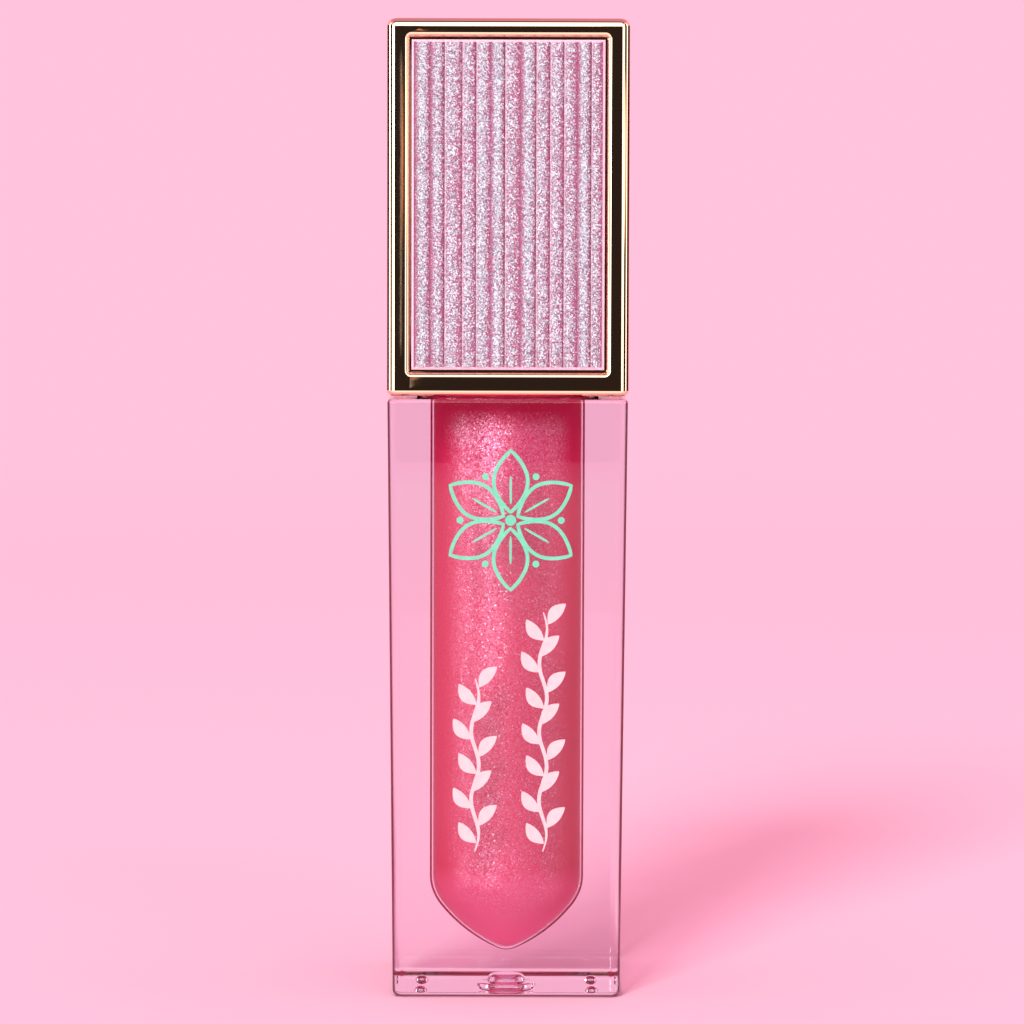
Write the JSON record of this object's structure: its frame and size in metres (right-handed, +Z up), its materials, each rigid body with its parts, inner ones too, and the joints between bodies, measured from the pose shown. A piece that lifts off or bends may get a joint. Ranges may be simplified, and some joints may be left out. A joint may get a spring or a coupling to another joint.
{
  "type": "lip gloss tube",
  "caption": "Square thick-walled clear lip gloss tube with a pointed gloss vial, and a square gold cap with ribbed glitter inlays that unscrews and pulls out a flocked wand.",
  "frame": {"origin": "middle of the clear block's foot, on the surface that the tube stands on", "axes": "+Z up along the tube towards the cap, -Y towards the printed front face, +X to the right of it"},
  "size_m": [0.022, 0.022, 0.0894],
  "materials": {
    "clear_block": "polished thick clear acrylic with a faint pink cast",
    "clear_vial": "polished thin clear copolyester",
    "gloss_fluid": "wet pink gel with fine pearl shimmer",
    "soft_polyethylene": "soft translucent low-density polyethylene",
    "foam_seal": "closed-cell foam",
    "gold_plating": "mirror gold plating on moulded plastic",
    "glitter_inlay": "pink ribbed inlay covered in fine silver glitter",
    "liner_plastic": "moulded polypropylene",
    "weight_steel": "turned zinc-plated steel",
    "stem_plastic": "smooth translucent plastic wetted with gloss",
    "flocking": "short nylon flock soaked with gloss"
  },
  "bodies": {
    "bottle": {"outer_bottle": "clear_block", "inner_vial": "clear_vial", "gloss": "gloss_fluid", "wiper": "soft_polyethylene"},
    "washer": {"seal_washer": "foam_seal"},
    "weight": {"cap_weight": "weight_steel"},
    "cap": {"cap_shell": "gold_plating", "panel_front": "glitter_inlay", "panel_right": "glitter_inlay", "panel_back": "glitter_inlay", "panel_left": "glitter_inlay", "inner_cap": "liner_plastic", "stem": "stem_plastic", "applicator_tip": "flocking"}
  },
  "joints": [
    {"name": "cap_pull", "type": "slide", "parent": "bottle", "child": "washer", "axis": [0, 0, 1], "range_m": [0, 0.062], "deforming": ["wiper"]},
    {"name": "cap_rise", "type": "slide", "parent": "washer", "child": "weight", "axis": [0, 0, 1], "range_m": [0, 0.00361]},
    {"name": "cap_turn", "type": "hinge", "parent": "weight", "child": "cap", "pos_m": [0, 0, 0.06], "axis": [0, 0, 1], "range_deg": [0, 540]}
  ],
  "couplings": [
    {"joint": "cap_rise", "follows": "cap_turn", "m_per_rad": 0.00038197}
  ]
}
